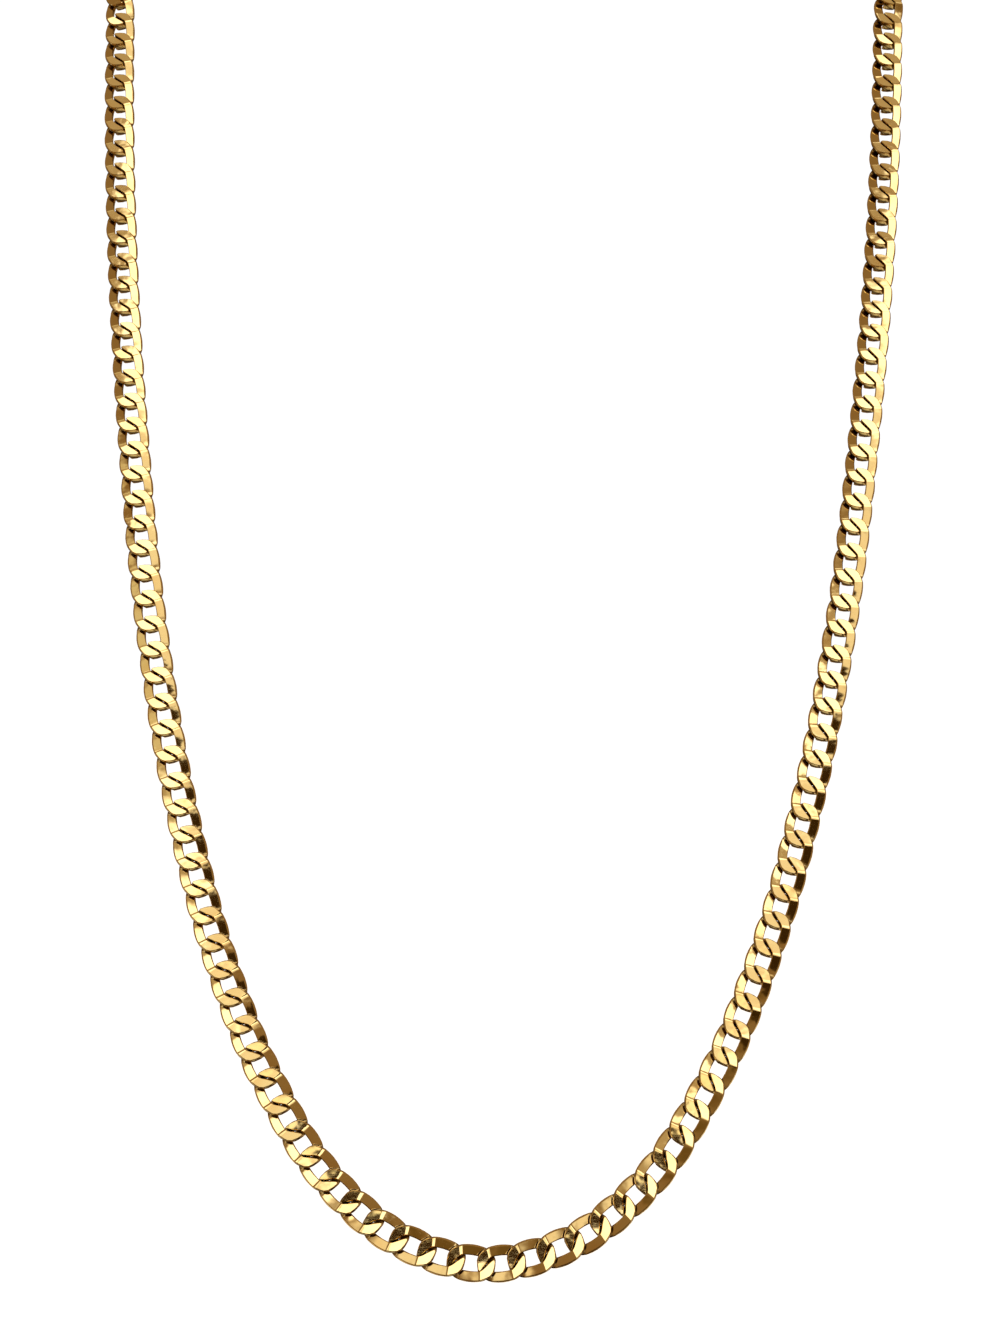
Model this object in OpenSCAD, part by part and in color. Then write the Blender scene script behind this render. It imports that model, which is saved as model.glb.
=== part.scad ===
// Curb chain necklace: twisted, flat-cut links in one closed loop, joined at the nape by a plain barrel
// clasp between two rings. It stands as it hangs, with the flat of the chain facing away from the neck.

/* [Link] */
// Width of a link across the chain
link_w = 4.55; // [4.2:0.05:5.2]
// Thickness of the chain between its two flat faces
link_t = 1.5; // [1.4:0.05:2]
// Width of a link's long side, seen from the front
rim_w = 1.3; // [1.1:0.05:1.4]
// Thickness of a link's long side at its middle
rim_t = 0.65; // [0.55:0.05:0.8]
// Width of the wire where it bends round a link's end
end_w = 0.97; // [0.8:0.01:1.05]
// Width of the sloping edge round the outside of a link
edge_w = 0.25; // [0.15:0.01:0.35]
// Play between a link and the next one
play = 0.2; // [0.18:0.01:0.3]

/* [Chain] */
// Distance from one link to the next
pitch = 3.8; // [3.6:0.05:4.2]
// Number of links in each half of the chain
links_per_side = 78; // [70:1:90]

/* [Fastening] */
// Thickness of the wire of an end ring
ring_wire = 0.8; // [0.6:0.05:0.9]
// Inside diameter of an end ring
ring_bore = 3.2; // [3:0.05:3.6]
// Turn of an end ring about the chain, which lines it up with the twist of the last link
ring_turn = 48; // [44:1:52]
// Room left round an end ring where it passes through a link or an eye
ring_play = 0.23; // [0.2:0.01:0.26]
// Diameter of the clasp's barrel
barrel_d = 3.6; // [3:0.1:5]
// Length of the clasp's barrel
barrel_l = 6.6; // [6:0.1:10]
// Radius of the rounding at the barrel's two ends
barrel_round = 0.9; // [0.5:0.1:1.4]
// Hole in each eye of the clasp
eye_bore = 1.8; // [1.6:0.05:2]
// Width of metal round an eye's hole
eye_wall = 0.65; // [0.5:0.05:0.8]
// Thickness of an eye
eye_t = 0.8; // [0.6:0.05:0.9]

/* [Hidden] */

// Half of the loop, from its lowest point at the front to the nape. Each row is a point, x to the side,
// y back and z up, then the way in which the flat of the chain looks there. The front hangs in a plane
// that leans back by one in three, and the rest goes over the shoulder and round the back of the neck.
ROUTE = [
    [[0, 0, 0], [0, -3, 1]],
    [[11.5, 1, 3], [0, -3, 1]],
    [[19.5, 3, 9], [0, -3, 1]],
    [[28.2, 7, 21], [0, -3, 1]],
    [[35.3, 12, 36], [0, -3, 1]],
    [[42.1, 19, 57], [0, -3, 1]],
    [[47, 26, 78], [0, -3, 1]],
    [[52, 36, 108], [0, -3, 1]],
    [[55.8, 46, 138], [0, -3, 1]],
    [[58.5, 57, 171], [0.2, -3, 1]],
    [[59.6, 64.5, 187], [1.35, -2.5, 1.7]],
    [[56.8, 75, 198.5], [2, -1.1, 3]],
    [[48.6, 88.5, 205.5], [1.8, 0.8, 3]],
    [[34.5, 99.5, 209], [1.2, 2, 2.4]],
    [[17.5, 106, 211], [0.5, 2.8, 2]],
    [[0, 107.8, 211.5], [0, 3, 1.8]]];

// Sections of the wire in a quarter of a link, from the middle of a long side to the end. The inner
// corner is given in shares of half the opening's width and length, the outer one in shares of half the
// link's width and length.
IN_X = 0;
IN_Y = 1;
OUT_X = 2;
OUT_Y = 3;
QUARTER = [
    [1.00, 0.00, 1.00, 0.00],
    [0.92, 0.60, 0.90, 0.53],
    [0.36, 1.00, 0.42, 0.98]];

GOLD = "goldenrod";
STEPS = 24;
open_w = link_w - 2 * rim_w;
open_l = pitch + play;
link_l = open_l + 2 * end_w;
under_z = 0.85 * play;
ring_r = (ring_bore + ring_wire) / 2;

// Distances from the middle of the clasp, out along the chain
eye_y = barrel_l / 2 + eye_wall + eye_bore / 2;
ring_end_y = eye_y + eye_bore / 2 - ring_play - ring_wire / 2;
chain_end_y = ring_end_y + 2 * ring_r - ring_wire / 2 - ring_play + play / 2;
half_loop = links_per_side * pitch + chain_end_y;

function unit(v) = v / norm(v);
function across(v, axis) = unit(v - (v * axis) * axis);

// The wire's section at one row of the quarter, between two heights: two inner corners, then the upper
// edge, the outermost corner and the lower edge
function section(row, low, high) =
    let (inner = [row[IN_X] * open_w / 2, row[IN_Y] * open_l / 2])
    let (outer = [row[OUT_X] * link_w / 2, row[OUT_Y] * link_l / 2])
    let (edge = outer + edge_w * unit(inner - outer))
    [[inner.x, inner.y, low], [inner.x, inner.y, high], [edge.x, edge.y, high],
     [outer.x, outer.y, (low + high) / 2], [edge.x, edge.y, low]];

// A link looks the same after half a turn about each of its axes, which gives the other three quarters
function turned_x(s) = [for (i = [1, 0, 4, 3, 2]) [s[i].x, -s[i].y, -s[i].z]];
function turned_y(s) = [for (i = [1, 0, 4, 3, 2]) [-s[i].x, s[i].y, -s[i].z]];
function turned_z(s) = [for (c = s) [-c.x, -c.y, c.z]];

SIDE = section(QUARTER[0], -rim_t / 2, rim_t / 2);
CURL = section(QUARTER[1], under_z, link_t / 2);
BEND = section(QUARTER[2], under_z, link_t / 2);
LINK = [SIDE, CURL, BEND, turned_y(BEND), turned_y(CURL),
        turned_z(SIDE), turned_z(CURL), turned_z(BEND), turned_x(BEND), turned_x(CURL)];

// A smooth curve through the rows of the route, which meets its mirror image squarely at both ends
function flip(p) = [-p.x, p.y, p.z];
function knot(i) =
    i < 0 ? flip(ROUTE[1][0]) : i < len(ROUTE) ? ROUTE[i][0] : flip(ROUTE[len(ROUTE) - 2][0]);
function heading(i) =
    let (back = knot(i) - knot(i - 1))
    let (ahead = knot(i + 1) - knot(i))
    (unit(back) * norm(ahead) + unit(ahead) * norm(back)) / (norm(back) + norm(ahead));
function curve(i, t) =
    let (reach = norm(knot(i + 1) - knot(i)))
    (2 * t ^ 3 - 3 * t ^ 2 + 1) * knot(i) + (t ^ 3 - 2 * t ^ 2 + t) * reach * heading(i)
    + (3 * t ^ 2 - 2 * t ^ 3) * knot(i + 1) + (t ^ 3 - t ^ 2) * reach * heading(i + 1);
function looks(i, t) = (1 - t) * unit(ROUTE[i][1]) + t * unit(ROUTE[i + 1][1]);

LAST = len(ROUTE) - 1;
TRACK = concat([for (i = [0:LAST - 1], j = [0:STEPS - 1]) curve(i, j / STEPS)], [knot(LAST)]);
FACING = concat([for (i = [0:LAST - 1], j = [0:STEPS - 1]) looks(i, j / STEPS)], [unit(ROUTE[LAST][1])]);
function leg(i) = i < len(TRACK) ? norm(TRACK[i] - TRACK[i - 1]) : 0;
RUN = [for (i = 0, s = 0; i < len(TRACK); i = i + 1, s = s + leg(i)) s];

// The route is drawn to the length of the chain, and set so that the clasp touches the nape at the origin
fitted = half_loop / RUN[len(RUN) - 1];
nape_out = unit(ROUTE[LAST][1]);
shift = nape_out * barrel_d / 2 - knot(LAST) * fitted;

function at(list, s) =
    [for (k = [0:2]) lookup(s / fitted, [for (i = [0:len(RUN) - 1]) [RUN[i], list[i][k]]])];
function place(s) = at(TRACK, s) * fitted + shift;

// A frame on the chain: its middle, then the directions across, along towards the nape, and outwards
function frame(start, end, out) =
    let (along = unit(end - start))
    let (face = across(out, along))
    [(start + end) / 2, cross(along, face), along, face];
function mirrored(f) = frame(flip(f[0] - f[2]), flip(f[0] + f[2]), flip(f[3]));
function chain_frame(s) =
    let (f = frame(place(s - pitch / 2), place(s + pitch / 2), at(FACING, s)))
    [place(s), f[1], f[2], f[3]];
function sided(f, side) = side > 0 ? f : mirrored(f);
function in_frame(f, p) = f[0] + f[1] * p.x + f[2] * p.y + f[3] * p.z;

// All links of one half as one body of loose, interlocked rings
module chain_half(side) {
    corners = len(SIDE);
    count = corners * len(LINK);
    points = [for (n = [0:links_per_side - 1])
        let (f = sided(chain_frame((n + 0.5) * pitch), side))
        for (s = LINK, c = s) in_frame(f, c)];
    faces = [for (n = [0:links_per_side - 1], i = [0:len(LINK) - 1], j = [0:corners - 1])
        let (a = i * corners, b = ((i + 1) % len(LINK)) * corners, k = (j + 1) % corners)
        for (t = [[a + j, b + k, a + k], [a + j, b + j, b + k]]) [for (v = t) n * count + v]];
    color(GOLD) polyhedron(points = points, faces = faces);
}

module placed(f) {
    multmatrix([for (k = [0:2]) [f[1][k], f[2][k], f[3][k], f[0][k]]]) children();
}

function clasp_frame() = frame(
    place(half_loop) + [1, 0, 0], place(half_loop) - [1, 0, 0], nape_out);

// The ring hangs between the last link's end and the clasp's eye
function ring_frame() =
    let (link = chain_frame((links_per_side - 0.5) * pitch))
    let (hook = open_l / 2 - ring_play - ring_wire / 2)
    let (clasp = clasp_frame())
    frame(in_frame(link, [0, hook, 0]), in_frame(clasp, [0, -ring_end_y, 0]), (link[3] + clasp[3]) / 2);

module end_ring(side) {
    color(GOLD) placed(sided(ring_frame(), side)) rotate([0, 90 - ring_turn, 0])
        rotate_extrude($fn = 48) translate([ring_r, 0]) circle(d = ring_wire, $fn = 24);
}

module barrel() {
    straight = barrel_l - 2 * barrel_round;
    rotate([90, 0, 0]) rotate_extrude($fn = 48) union() {
        translate([0, -barrel_l / 2]) square([barrel_d / 2 - barrel_round, barrel_l]);
        translate([0, -straight / 2]) square([barrel_d / 2, straight]);
        for (end = [-1, 1]) intersection() {
            translate([barrel_d / 2 - barrel_round, end * straight / 2]) circle(r = barrel_round, $fn = 32);
            translate([0, -barrel_l / 2]) square([barrel_d / 2, barrel_l]);
        }
    }
}

module eye() {
    root = barrel_round;
    difference() {
        union() {
            translate([0, -eye_y, 0]) cylinder(d = eye_bore + 2 * eye_wall, h = eye_t, center = true, $fn = 48);
            translate([-eye_bore / 2 - eye_wall, -eye_y, -eye_t / 2])
                cube([eye_bore + 2 * eye_wall, eye_y - barrel_l / 2 + root, eye_t]);
        }
        translate([0, -eye_y, 0]) cylinder(d = eye_bore, h = 2 * eye_t, center = true, $fn = 48);
    }
}

module clasp() {
    color(GOLD) {
        placed(clasp_frame()) barrel();
        for (side = [-1, 1]) placed(sided(clasp_frame(), side)) rotate([0, -ring_turn, 0]) eye();
    }
}

module chain_left() { chain_half(-1); }
module chain_right() { chain_half(1); }
module ring_left() { end_ring(-1); }
module ring_right() { end_ring(1); }

chain_left();
chain_right();
ring_left();
ring_right();
clasp();
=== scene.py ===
# %% [markdown]
# # A curb chain necklace, dressed for its picture
# The necklace is one closed loop of 156 flat-cut curb links, closed at the nape by a barrel clasp
# between two small rings. The CAD model holds the sizes. This lesson gives each link its crisp cut
# faces and rounded wire, lays the links along the same route, and finishes everything in polished gold.

# %% Load the CAD model as a fixed frame
import bpy
import bmesh
import math
import random
from mathutils import Matrix, Vector


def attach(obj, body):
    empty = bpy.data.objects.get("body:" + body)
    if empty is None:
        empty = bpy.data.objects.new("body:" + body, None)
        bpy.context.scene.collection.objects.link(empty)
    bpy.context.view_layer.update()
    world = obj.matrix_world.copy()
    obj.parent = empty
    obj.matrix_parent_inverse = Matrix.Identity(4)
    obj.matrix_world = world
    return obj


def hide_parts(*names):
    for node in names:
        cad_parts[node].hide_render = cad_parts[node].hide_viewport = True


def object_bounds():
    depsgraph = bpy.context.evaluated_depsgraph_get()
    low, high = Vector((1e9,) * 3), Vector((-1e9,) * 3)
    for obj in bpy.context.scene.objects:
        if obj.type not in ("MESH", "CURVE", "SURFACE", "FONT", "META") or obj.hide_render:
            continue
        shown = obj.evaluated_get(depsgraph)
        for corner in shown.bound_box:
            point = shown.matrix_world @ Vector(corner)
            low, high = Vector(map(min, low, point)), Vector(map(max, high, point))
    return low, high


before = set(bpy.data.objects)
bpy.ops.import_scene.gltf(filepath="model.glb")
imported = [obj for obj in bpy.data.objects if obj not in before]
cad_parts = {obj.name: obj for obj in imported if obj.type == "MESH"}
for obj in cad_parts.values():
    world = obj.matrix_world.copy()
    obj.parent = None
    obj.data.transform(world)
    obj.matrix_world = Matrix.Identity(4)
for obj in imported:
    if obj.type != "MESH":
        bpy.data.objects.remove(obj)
cad_low, cad_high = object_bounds()
MM = 0.001
print("CAD box, mm:", [round((b - a) / MM, 1) for a, b in zip(cad_low, cad_high)])

# %% [markdown]
# ## The camera
# A normal lens, some 25 cm in front of the lowest links, shows the upper ones smaller, because the chain
# leans back. A point's place in the picture depends on where the lens is and how it is turned, so both are
# set first and then left alone. Blender measures the sensor along the longer side of the picture, which is
# the upright one here.

# %% Camera
SENSOR = 36.0
PICTURE_HEIGHT = 1334
FOCAL_PIXELS = 2000
LENS_PLACE = Vector((6.03, -354.13, -136.13)) * MM
LENS_TURN = (89.926, -0.332, 1.1)
NEAREST, FARTHEST = 0.01, 50.0
camera = bpy.data.objects.new("camera", bpy.data.cameras.new("camera"))
camera.data.sensor_width = SENSOR
camera.data.lens = SENSOR * FOCAL_PIXELS / PICTURE_HEIGHT
camera.data.clip_start = NEAREST
camera.data.clip_end = FARTHEST
camera.location = LENS_PLACE
camera.rotation_euler = [math.radians(angle) for angle in LENS_TURN]
bpy.context.scene.collection.objects.link(camera)
bpy.context.scene.camera = camera
print("lens, mm:", round(camera.data.lens, 1))

# %% [markdown]
# ## The route of the chain
# A hanging chain follows a curve that is steep at its sides and round at its lowest point. Drawing it by
# hand would need many points. A few chosen points with a smooth curve between them are enough, and they
# are the same ones that the CAD model uses, so both halves of the work meet exactly. Beside each point
# stands the way in which the flat of the chain looks there.

# %% Route of half the loop, in mm, from its lowest point to the nape
ROUTE = [
    ((0, 0, 0), (0, -3, 1)),
    ((11.5, 1, 3), (0, -3, 1)),
    ((19.5, 3, 9), (0, -3, 1)),
    ((28.2, 7, 21), (0, -3, 1)),
    ((35.3, 12, 36), (0, -3, 1)),
    ((42.1, 19, 57), (0, -3, 1)),
    ((47, 26, 78), (0, -3, 1)),
    ((52, 36, 108), (0, -3, 1)),
    ((55.8, 46, 138), (0, -3, 1)),
    ((58.5, 57, 171), (0.2, -3, 1)),
    ((59.6, 64.5, 187), (1.35, -2.5, 1.7)),
    ((56.8, 75, 198.5), (2, -1.1, 3)),
    ((48.6, 88.5, 205.5), (1.8, 0.8, 3)),
    ((34.5, 99.5, 209), (1.2, 2, 2.4)),
    ((17.5, 106, 211), (0.5, 2.8, 2)),
    ((0, 107.8, 211.5), (0, 3, 1.8)),
]
PITCH = 3.8 * MM
LINKS_PER_SIDE = 78
HALF_LOOP = 304.99 * MM
BARREL_RADIUS = 1.8 * MM
STEPS_BETWEEN_POINTS = 24


def flipped(v):
    """The same place or direction in the other half"""
    return Vector((-v.x, v.y, v.z))


points = [Vector(point) * MM for point, look in ROUTE]
looks = [Vector(look).normalized() for point, look in ROUTE]
knots = [flipped(points[1])] + points + [flipped(points[-2])]


def heading(i):
    """The way in which the route passes its knot i"""
    back, ahead = knots[i] - knots[i - 1], knots[i + 1] - knots[i]
    mean = back.normalized() * ahead.length + ahead.normalized() * back.length
    return mean / (back.length + ahead.length)


track, facing, run = [], [], [0.0]
for i in range(1, len(points)):
    reach = (knots[i + 1] - knots[i]).length
    reaches_nape = i == len(points) - 1
    for j in range(STEPS_BETWEEN_POINTS + reaches_nape):
        t = j / STEPS_BETWEEN_POINTS
        track.append((2 * t**3 - 3 * t**2 + 1) * knots[i] + (t**3 - 2 * t**2 + t) * reach * heading(i)
                     + (3 * t**2 - 2 * t**3) * knots[i + 1] + (t**3 - t**2) * reach * heading(i + 1))
        facing.append((1 - t) * looks[i - 1] + t * looks[i])
for a, b in zip(track, track[1:]):
    run.append(run[-1] + (b - a).length)

# The drawn route is scaled to the real length, and the origin is where the barrel touches the neck
fitted = HALF_LOOP / run[-1]
shift = looks[-1] * BARREL_RADIUS - points[-1] * fitted
print("route, mm:", round(run[-1] / MM, 2), "drawn to", round(HALF_LOOP / MM, 2))

# %% Places on the route, by the length of chain from its lowest point


def along_route(values, s):
    """The value that belongs to a length s of chain, from a list with one value for each step"""
    s = min(max(s / fitted, 0.0), run[-1])
    i = max(k for k in range(len(run) - 1) if run[k] <= s)
    return values[i].lerp(values[i + 1], (s - run[i]) / (run[i + 1] - run[i]))


def place(s):
    """Where the middle of the chain lies at a length s from its lowest point"""
    return along_route(track, s) * fitted + shift


def link_matrix(s, side):
    """Where a link sits: its own x across the chain, y towards the nape and z out of the flat face"""
    middle, face = place(s), along_route(facing, s)
    along = (place(s + PITCH / 2) - place(s - PITCH / 2)).normalized()
    if side == "left":
        middle, face, along = flipped(middle), flipped(face), flipped(along)
    face = (face - face.dot(along) * along).normalized()
    across = along.cross(face)
    turn = Matrix((across, along, face)).transposed()
    return Matrix.Translation(middle) @ turn.to_4x4()


print("lowest link, mm:", [round(v / MM, 1) for v in link_matrix(PITCH / 2, "right").translation])

# %% [markdown]
# ## One curb link
# A curb link starts as a ring of round wire that is twisted, so that it lies flat against its neighbours,
# and is then cut flat on both faces. The cuts leave sloping faces along the sides and level, leaf-shaped
# ones at the ends, where the wire lies on top. A ready-made torus has none of this. Here the six-cornered
# section of the wire is drawn at six stations, from the middle of a long side to the end, and extruded
# from one to the next. Half turns about the link's axes give the other three quarters.

# %% Stations of a quarter link, in mm: six corners of the wire's section at each
CORNERS = ["top inner", "top outer", "outside", "bottom outer", "bottom inner", "inside"]
STATIONS = [
    [(0.99, 0.00, 0.33), (2.12, 0.00, 0.27), (2.27, 0.00, 0.00),
     (2.12, 0.00, -0.27), (0.99, 0.00, -0.33), (0.95, 0.00, 0.00)],
    [(0.89, 1.06, 0.67), (2.04, 1.10, 0.60), (2.16, 1.12, 0.33),
     (2.04, 1.10, 0.05), (0.91, 1.02, 0.03), (0.87, 1.05, 0.33)],
    [(0.77, 1.38, 0.735), (1.93, 1.44, 0.695), (2.03, 1.47, 0.42),
     (1.92, 1.43, 0.14), (0.86, 1.32, 0.12), (0.79, 1.38, 0.42)],
    [(0.49, 1.67, 0.745), (1.58, 2.15, 0.705), (1.67, 2.21, 0.42),
     (1.55, 2.11, 0.16), (0.72, 1.54, 0.17), (0.62, 1.66, 0.43)],
    [(0.00, 2.09, 0.76), (0.86, 2.83, 0.73), (0.91, 2.88, 0.45),
     (0.93, 2.76, 0.26), (0.44, 1.89, 0.19), (0.34, 1.80, 0.38)],
    [(-0.60, 2.64, 0.77), (-0.50, 2.94, 0.765), (0.00, 3.06, 0.00),
     (0.50, 2.94, -0.765), (0.60, 2.64, -0.77), (0.00, 1.915, 0.00)],
]
BREAK = 2  # the station where the sloping side of a cut face meets its level end
TOP_FACE, BOTTOM_FACE = {0, 1}, {3, 4}  # the corners that border each cut face
CUT_FACE, WIRE = 0, 1  # material slots
WELD = 0.001


def first_section():
    """A loop with one vertex for each corner, at the first station"""
    bm = bmesh.new()
    corner = bm.verts.layers.int.new("corner")
    station = bm.verts.layers.int.new("station")
    circle = bmesh.ops.create_circle(bm, segments=len(CORNERS), radius=1)["verts"]
    for k, v in enumerate(circle):
        v[corner] = k
        v.co = STATIONS[0][k]
    return bm, corner, station


def quarter_link():
    """Extrudes the section from station to station, and marks the cut faces"""
    bm, corner, station = first_section()
    ring = bm.edges[:]
    for i, row in enumerate(STATIONS[1:], 1):
        made = bmesh.ops.extrude_edge_only(bm, edges=ring)["geom"]
        moved = [g for g in made if isinstance(g, bmesh.types.BMVert)]
        ring = [g for g in made if isinstance(g, bmesh.types.BMEdge) and all(v in moved for v in g.verts)]
        for v in moved:
            v[station] = i
            v.co = row[v[corner]]
    for face in bm.faces:
        corners = {v[corner] for v in face.verts}
        on_side = all(v[station] <= BREAK for v in face.verts)
        cut = corners == TOP_FACE or (corners == BOTTOM_FACE and on_side)
        face.material_index = CUT_FACE if cut else WIRE
        face.smooth = True
    return bm


link = quarter_link()
for axis in "YZ":
    copy = bmesh.ops.duplicate(link, geom=link.verts[:] + link.edges[:] + link.faces[:])["geom"]
    bmesh.ops.rotate(link, cent=(0, 0, 0), matrix=Matrix.Rotation(math.pi, 3, axis),
                     verts=[g for g in copy if isinstance(g, bmesh.types.BMVert)])
bmesh.ops.remove_doubles(link, verts=link.verts, dist=WELD)
bmesh.ops.recalc_face_normals(link, faces=link.faces)
print("one link:", len(link.faces), "faces, volume", round(link.calc_volume(), 2), "mm3")

# %% [markdown]
# The cut faces shine like a mirror and meet the rest of the wire at a sharp edge, while the wire itself
# stays round. A subdivision surface rounds everything, so the edges that must stay sharp are creased. The
# break across each cut face, where the slope of the side meets the level end, is a soft turn. It isn't
# creased: two stations close together keep it short.
#
# Where the links lie close together and under their neighbours, the colour is darkened as painted shade
# for the shadow there. How much painted shade a corner of the link gets, from 0 in the open to 1 where
# it is darkest, is kept in an attribute. The material reads it.

# %% Sharp edges, and how much painted shade each corner gets
SHARP = 1.0
# Painted shade: how much darker the colour is made inside the link, on its outer side towards the ends, and
# where the cut faces pass under the next link
SHADE_INSIDE = 1.0
SHADE_OUTSIDE = [0.2, 0.4, 0.8, 1.0, 1.0, 1.0]
SHADE_UNDER_NEIGHBOUR = {1: 0.1, BREAK: 0.55}
corner = link.verts.layers.int["corner"]
station = link.verts.layers.int["station"]
painted_shade = link.verts.layers.float.new("painted_shade")
crease = link.edges.layers.float.new("crease_edge")
wear = link.edges.layers.float.new("bevel_weight_edge")
for edge in link.edges:
    kinds = {face.material_index for face in edge.link_faces}
    if len(kinds) > 1:
        edge[crease] = edge[wear] = SHARP
        edge.smooth = False
for v in link.verts:
    name = CORNERS[v[corner]]
    on_cut = any(face.material_index == CUT_FACE for face in v.link_faces)
    if name == "outside":
        v[painted_shade] = SHADE_OUTSIDE[v[station]]
    elif on_cut:
        v[painted_shade] = SHADE_UNDER_NEIGHBOUR.get(v[station], 0.0) if "bottom" in name else 0.0
    else:
        v[painted_shade] = SHADE_INSIDE
bmesh.ops.scale(link, verts=link.verts, vec=(MM, MM, MM))
link_mesh = bpy.data.meshes.new("one_link")
link.to_mesh(link_mesh)
print("sharp edges:", sum(not edge.smooth for edge in link.edges), "of", len(link.edges))
link.free()

# %% [markdown]
# A subdivision surface also shrinks away from its cage. The stations are the places where the finished
# metal should be, so the cage is pushed outwards until the smoothed link passes through them.
#
# Wear takes the sharpest line off the edges round the cut faces. A narrow bevel there leaves thin bands
# that show a different part of the room than the faces beside them, and so outline each form. The sharp
# edges carry a weight that tells the bevel where to go.

# %% Rounding, worn edges, and a cage that is pushed out
PUSHES = 6
EDGE_WEAR = 0.07 * MM


def add_rounding(piece):
    rounding = piece.modifiers.new("rounding", "SUBSURF")
    rounding.levels = rounding.render_levels = 1


def add_worn_edges(piece):
    edges = piece.modifiers.new("worn edges", "BEVEL")
    edges.width = EDGE_WEAR
    edges.segments = 1
    edges.limit_method = "WEIGHT"
    edges.material = WIRE


drawn = [v.co.copy() for v in link_mesh.vertices]
trial = bpy.data.objects.new("trial_link", link_mesh)
bpy.context.scene.collection.objects.link(trial)
add_rounding(trial)
for push in range(PUSHES):
    link_mesh.update()
    smooth = trial.evaluated_get(bpy.context.evaluated_depsgraph_get()).data
    misses = [want - v.co for want, v in zip(drawn, smooth.vertices)]
    for v, miss in zip(link_mesh.vertices, misses):
        v.co += miss
    print("push", push, "largest miss, mm:", round(max(m.length for m in misses) / MM, 3))
bpy.data.objects.remove(trial)

# %% [markdown]
# ## Two halves of the chain
# Each half is one piece of 78 loose links. The links of a worn chain never lie perfectly true, so each one
# is rocked by less than a degree about its own middle. That is what makes neighbouring links catch the
# light a little differently. The numbers come from a seeded generator, so every run gives the same chain.

# %% Lay the links
ROCK = math.radians(0.7)
SEED = 11


def chain_half(side):
    """All links of one half of the loop, as one piece"""
    draw = random.Random(f"{side} {SEED}")
    bm = bmesh.new()
    for n in range(LINKS_PER_SIDE):
        laid = len(bm.verts)
        bm.from_mesh(link_mesh)
        bm.verts.ensure_lookup_table()
        rock = Matrix.Identity(4)
        for axis in "XYZ":
            rock = rock @ Matrix.Rotation(draw.uniform(-ROCK, ROCK), 4, axis)
        where = link_matrix((n + 0.5) * PITCH, side) @ rock
        bmesh.ops.transform(bm, matrix=where, verts=bm.verts[laid:])
    mesh = bpy.data.meshes.new(f"curb_links_{side}")
    bm.to_mesh(mesh)
    bm.free()
    piece = bpy.data.objects.new(f"curb_links_{side}", mesh)
    bpy.context.scene.collection.objects.link(piece)
    add_rounding(piece)
    add_worn_edges(piece)
    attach(piece, "root")
    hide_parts(f"chain_{side}")
    return piece


halves = {side: chain_half(side) for side in ("left", "right")}
print("faces a half:", {side: len(piece.data.polygons) for side, piece in halves.items()})

# %% [markdown]
# ## Polished gold
# Polished metal has hardly a colour of its own in a picture: it shows what is around it, tinted. So the
# colour is one warm yellow, and what makes it look real is small: a slow change of tone from the alloy and
# from handling, fine scratches, and a surface that is never quite level.

# %% Helpers for shader nodes
COLOUR, VALUE = "NodeSocketColor", "NodeSocketFloat"
WHITE = (1, 1, 1, 1)


def add_node(tree, kind, **settings):
    node = tree.nodes.new(kind)
    for name, setting in settings.items():
        setattr(node, name, setting)
    return node


def wire_up(tree, *pairs):
    for out, into in pairs:
        tree.links.new(out, into)


def work_out(tree, operation, *given):
    """The result of a Math node, whose inputs are outputs of other nodes or plain numbers"""
    node = add_node(tree, "ShaderNodeMath", operation=operation)
    for socket, value in zip(node.inputs, given):
        if isinstance(value, bpy.types.NodeSocket):
            tree.links.new(value, socket)
        else:
            socket.default_value = value
    return node.outputs[0]


def new_group(name, inputs, outputs):
    """A group with the named sockets, and its ends inside: what it is given and what it results in"""
    group = bpy.data.node_groups.new(name, "ShaderNodeTree")
    for way, sockets in (("INPUT", inputs), ("OUTPUT", outputs)):
        for socket, kind in sockets.items():
            group.interface.new_socket(socket, in_out=way, socket_type=kind)
    return group, add_node(group, "NodeGroupInput").outputs, add_node(group, "NodeGroupOutput").inputs


# %% The surface of worn gold with painted shade between the links, as a group that each gold material places with its own values
TONE = {"scale": 330, "detail": 2, "low": 0.42, "high": 0.72}
SCRATCH = {"scale": 1, "detail": 2, "low": 0.5, "high": 0.75}
SCRATCH_TURN, SCRATCH_STRETCH = (0.5, 0.3, 0.7), (900, 9000, 9000)
WAVE_SCALE, WAVE_DETAIL = 700, 1
PAINTED_SHADE_POWER = 2


def add_noise(group, where, scale, detail):
    noise = add_node(group, "ShaderNodeTexNoise")
    noise.inputs["Scale"].default_value = scale
    noise.inputs["Detail"].default_value = detail
    wire_up(group, (where, noise.inputs["Vector"]))
    return noise.outputs["Fac"]


def add_spots(group, where, scale, detail, low, high):
    """Noise that is 0 up to its low value and 1 from its high value"""
    span = add_node(group, "ShaderNodeMapRange")
    span.inputs["From Min"].default_value = low
    span.inputs["From Max"].default_value = high
    wire_up(group, (add_noise(group, where, scale, detail), span.inputs["Value"]))
    return span.outputs["Result"]


def blend_colours(group, share, first, second):
    mix = add_node(group, "ShaderNodeMix", data_type="RGBA")
    wire_up(group, (share, mix.inputs["Factor"]), (first, mix.inputs["A"]), (second, mix.inputs["B"]))
    return mix.outputs["Result"]


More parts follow.
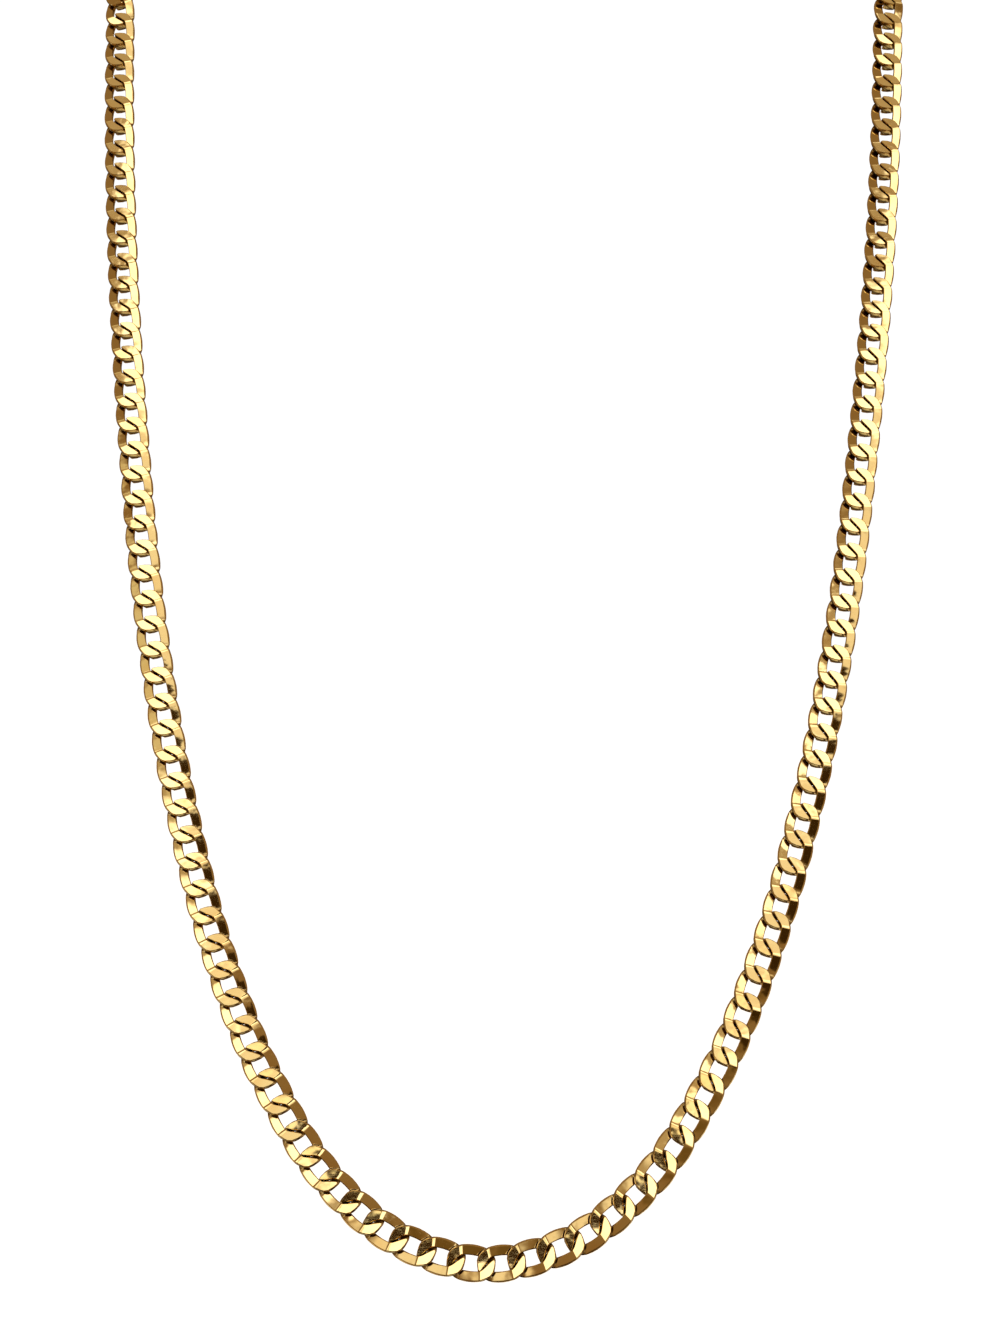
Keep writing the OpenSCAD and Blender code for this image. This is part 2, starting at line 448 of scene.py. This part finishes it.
def build_worn_and_shaded_gold():
    group, given, result = new_group(
        "worn_and_shaded_gold",
        {"Colour": COLOUR, "Deep Colour": COLOUR, "Painted Shade Colour": COLOUR, "Painted Shade": VALUE,
         "Polish": VALUE, "Scratches": VALUE, "Waviness": VALUE},
        {"Colour": COLOUR, "Roughness": VALUE, "Height": VALUE})
    where = add_node(group, "ShaderNodeTexCoord").outputs["Object"]
    metal = blend_colours(group, add_spots(group, where, **TONE), given["Colour"], given["Deep Colour"])
    # Painted shade: the colour goes over to the dark shade colour where the attribute of painted shade is
    # high
    shade_share = work_out(group, "POWER", given["Painted Shade"], PAINTED_SHADE_POWER)
    stretch = add_node(group, "ShaderNodeMapping")
    stretch.inputs["Rotation"].default_value = SCRATCH_TURN
    stretch.inputs["Scale"].default_value = SCRATCH_STRETCH
    wire_up(group, (where, stretch.inputs["Vector"]))
    scratch = add_spots(group, stretch.outputs["Vector"], **SCRATCH)
    wave = add_noise(group, where, WAVE_SCALE, WAVE_DETAIL)
    wire_up(group, (blend_colours(group, shade_share, metal, given["Painted Shade Colour"]), result["Colour"]),
            (work_out(group, "MULTIPLY_ADD", scratch, given["Scratches"], given["Polish"]),
             result["Roughness"]),
            (work_out(group, "MULTIPLY", wave, given["Waviness"]), result["Height"]))
    return group


worn_and_shaded_gold = build_worn_and_shaded_gold()
print("group:", worn_and_shaded_gold.name, [socket.name for socket in worn_and_shaded_gold.interface.items_tree])

# %% [markdown]
# One surface serves three finishes. The cut faces are polished the brightest, the drawn wire between them
# is a little duller, and the rings and the clasp come between the two. Each finish is a material with its
# own values for the same group.

# %% Gold materials: the bright cut faces, the drawn wire, and the fastening
GOLD = (1.0, 0.74, 0.32, 1)
DEEP_GOLD = (0.97, 0.66, 0.25, 1)
# The dark colour of the painted shade between and under the links
SHADE_GOLD = (0.07, 0.03, 0.007, 1)
WAVE_HEIGHT = 0.02 * MM


def gold(name, polish, scratches, waviness):
    """A gold: polish is the roughness of clean metal, and scratches is what a scratch adds to it"""
    material = bpy.data.materials.new(name)
    material.use_nodes = True
    tree = material.node_tree
    shader = tree.nodes["Principled BSDF"]
    shader.inputs["Metallic"].default_value = 1.0
    surface = add_node(tree, "ShaderNodeGroup", node_tree=worn_and_shaded_gold)
    for socket, value in (("Colour", GOLD), ("Deep Colour", DEEP_GOLD), ("Painted Shade Colour", SHADE_GOLD),
                          ("Polish", polish), ("Scratches", scratches), ("Waviness", waviness)):
        surface.inputs[socket].default_value = value
    # How much painted shade each corner of a link gets, read from the attribute on the mesh
    shade_amount = add_node(tree, "ShaderNodeAttribute", attribute_name="painted_shade")
    bump = add_node(tree, "ShaderNodeBump")
    bump.inputs["Distance"].default_value = WAVE_HEIGHT
    bump.inputs["Strength"].default_value = 1.0
    wire_up(tree, (shade_amount.outputs["Fac"], surface.inputs["Painted Shade"]),
            (surface.outputs["Colour"], shader.inputs["Base Color"]),
            (surface.outputs["Roughness"], shader.inputs["Roughness"]),
            (surface.outputs["Height"], bump.inputs["Height"]),
            (bump.outputs["Normal"], shader.inputs["Normal"]))
    return material


cut_gold = gold("cut_gold", polish=0.05, scratches=0.05, waviness=0.9)
wire_gold = gold("wire_gold", polish=0.14, scratches=0.1, waviness=1.0)
fastening_gold = gold("fastening_gold", polish=0.1, scratches=0.08, waviness=1.0)
for piece in halves.values():
    piece.data.materials.append(cut_gold)
    piece.data.materials.append(wire_gold)
for node in ("ring_left", "ring_right", "clasp"):
    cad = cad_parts[node]
    cad.data.materials.clear()
    cad.data.materials.append(fastening_gold)
print("materials:", [material.name for material in bpy.data.materials])

# %% [markdown]
# ## Studio
# Jewellers light polished metal with what it should reflect. Bright soft boxes make the pale faces, and
# black flags between them make the dark ones that give the links their shape. Boxes and flags stand far
# away here, so they are painted into the world as soft-edged patches, placed by their direction from the
# chain: azimuth to the right of the camera's side, and elevation above the horizon, in degrees.

# %% One soft-edged patch, as a group
AIM = ["Azimuth", "Elevation"]
CENTRE = ["Centre Azimuth", "Centre Elevation"]
HALF = ["Half Width", "Half Height"]


def build_patch():
    """Its mask is 1 inside the patch and fades to 0 over the soft edge"""
    group, given, result = new_group(
        "soft_patch", {name: VALUE for name in [*AIM, *CENTRE, *HALF, "Soft Edge"]}, {"Mask": VALUE})
    sides = []
    for aim, centre, half in zip(AIM, CENTRE, HALF):
        off = work_out(group, "SUBTRACT", given[aim], given[centre])
        start = work_out(group, "SUBTRACT", given[half], given["Soft Edge"])
        end = work_out(group, "ADD", given[half], given["Soft Edge"])
        fade = add_node(group, "ShaderNodeMapRange", interpolation_type="SMOOTHSTEP")
        fade.inputs["To Min"].default_value = 1
        fade.inputs["To Max"].default_value = 0
        wire_up(group, (work_out(group, "ABSOLUTE", off), fade.inputs["Value"]),
                (start, fade.inputs["From Min"]), (end, fade.inputs["From Max"]))
        sides.append(fade.outputs["Result"])
    wire_up(group, (work_out(group, "MULTIPLY", *sides), result["Mask"]))
    return group


patch = build_patch()
print("group:", patch.name, [socket.name for socket in patch.interface.items_tree])

# %% Soft boxes and flags around the chain: a later one lies over the earlier ones
PALE, CREAM, HONEY = (1.8, 1.8, 1.85), (1.3, 1.25, 1.05), (0.93, 0.87, 0.78)
SAND, TAN, BROWN = (0.68, 0.62, 0.47), (0.45, 0.36, 0.25), (0.24, 0.155, 0.075)
UMBER, DARK = (0.14, 0.085, 0.025), (0.035, 0.017, 0.003)

# Each row holds the five angles that SHAPE names, in degrees, and a colour
SHAPE = [*CENTRE, *HALF, "Soft Edge"]
PATCHES = [
    (0, -60, 180, 30, 15, DARK),
    (122, -42, 27, 26, 6, TAN),
    (-122, -42, 27, 26, 6, TAN),
    (120, -42, 17, 14, 5, HONEY),
    (-120, -42, 17, 14, 5, HONEY),
    (165, -65, 17, 13, 5, SAND),
    (-165, -65, 17, 13, 5, SAND),
    (0, 60, 56, 13, 3, TAN),
    (0, 27, 25, 10, 2, HONEY),
    (0, 38.5, 21.8, 8, 1.2, PALE),
    (-10.5, 45.7, 3, 2.8, 1.2, PALE),
    (-17.5, 31, 4.2, 3.5, 1, PALE),
    (-28.2, 49, 6.2, 8, 1.2, TAN),
    (3, 16.5, 24, 8.5, 1.5, PALE),
    (-1.2, 29, 12.8, 3.2, 1, HONEY),
    (4, 32.5, 4, 2.5, 1, HONEY),
    (-11.5, 22.5, 3.5, 3.2, 1, HONEY),
    (-2.5, 26.8, 6, 1.4, 0.6, CREAM),
    (4, 5, 9, 5, 1.5, HONEY),
    (-2.6, 24, 3.1, 2.3, 0.4, DARK),
    (-51.5, 62, 5.5, 5.5, 2, SAND),
    (-45.5, 46, 5, 10.5, 2, PALE),
    (-43, 24, 5, 9, 3, HONEY),
    (-37, 9, 5, 5, 2, HONEY),
    (26, 62.4, 5.5, 7.1, 1, PALE),
    (37, 42, 4, 9, 3, HONEY),
    (36, 16, 6, 11, 3, UMBER),
    (3, -3.8, 5.5, 4.8, 0.5, DARK),
    (3, 0.8, 2.2, 1.2, 0.4, DARK),
    (-10, -10, 8, 3, 2, UMBER),
]
print("patches of light:", len(PATCHES))

# %% Paint the patches into the world
world = bpy.data.worlds.new("studio")
world.use_nodes = True
bpy.context.scene.world = world
sky = world.node_tree
direction = add_node(sky, "ShaderNodeTexCoord").outputs["Generated"]
parts = add_node(sky, "ShaderNodeSeparateXYZ")
wire_up(sky, (direction, parts.inputs[0]))
x, y, z = parts.outputs
azimuth = work_out(sky, "DEGREES", work_out(sky, "ARCTAN2", x, work_out(sky, "MULTIPLY", y, -1)))
elevation = work_out(sky, "DEGREES", work_out(sky, "ARCSINE", z))
light = add_node(sky, "ShaderNodeRGB").outputs[0]
light.default_value = (*BROWN, 1)
for *shape, colour in PATCHES:
    box = add_node(sky, "ShaderNodeGroup", node_tree=patch)
    for name, value in zip(SHAPE, shape):
        box.inputs[name].default_value = value
    blend = add_node(sky, "ShaderNodeMix", data_type="RGBA")
    blend.inputs["B"].default_value = (*colour, 1)
    wire_up(sky, (azimuth, box.inputs["Azimuth"]), (elevation, box.inputs["Elevation"]),
            (box.outputs["Mask"], blend.inputs["Factor"]), (light, blend.inputs["A"]))
    light = blend.outputs["Result"]
print("nodes in the sky:", len(sky.nodes))

# %% [markdown]
# The camera sees a white backdrop instead of the room, as in a catalogue, while the gold still mirrors the
# room.

# %% Backdrop
BACKDROP = 1.05
studio = sky.nodes["Background"]
backdrop = add_node(sky, "ShaderNodeBackground")
backdrop.inputs["Color"].default_value = WHITE
backdrop.inputs["Strength"].default_value = BACKDROP
seen = add_node(sky, "ShaderNodeLightPath").outputs["Is Camera Ray"]
either = add_node(sky, "ShaderNodeMixShader")
wire_up(sky, (light, studio.inputs["Color"]), (seen, either.inputs[0]),
        (studio.outputs[0], either.inputs[1]), (backdrop.outputs[0], either.inputs[2]),
        (either.outputs[0], sky.nodes["World Output"].inputs["Surface"]))
print("backdrop strength:", BACKDROP)

# %% [markdown]
# The floor lies a little way under the hanging chain. It is plain and pale, and bright enough to run into
# the backdrop without a line. The gold doesn't mirror it, so the room alone shapes the links.

# %% Floor
FLOOR_GAP = 45 * MM
FLOOR_HALF = 6.0
PAPER = (0.9, 0.9, 0.9, 1)
PAPER_ROUGHNESS, PAPER_GLOW = 0.9, 0.85
floor_z = cad_low.z - FLOOR_GAP
bm = bmesh.new()
bmesh.ops.create_grid(bm, x_segments=1, y_segments=1, size=FLOOR_HALF)
bmesh.ops.translate(bm, verts=bm.verts, vec=(0, 0, floor_z))
floor_mesh = bpy.data.meshes.new("floor")
bm.to_mesh(floor_mesh)
bm.free()
floor = bpy.data.objects.new("floor", floor_mesh)
bpy.context.scene.collection.objects.link(floor)
paper = bpy.data.materials.new("white_paper")
paper.use_nodes = True
paper_shader = paper.node_tree.nodes["Principled BSDF"]
paper_shader.inputs["Base Color"].default_value = PAPER
paper_shader.inputs["Roughness"].default_value = PAPER_ROUGHNESS
paper_shader.inputs["Emission Color"].default_value = WHITE
paper_shader.inputs["Emission Strength"].default_value = PAPER_GLOW
floor.data.materials.append(paper)
floor.visible_glossy = False
print("floor at z, mm:", round(floor_z / MM, 1))

# %% A plain view, which keeps the white ground white
view = bpy.context.scene.view_settings
view.view_transform = "Standard"
view.look = "None"
print("view:", view.view_transform)
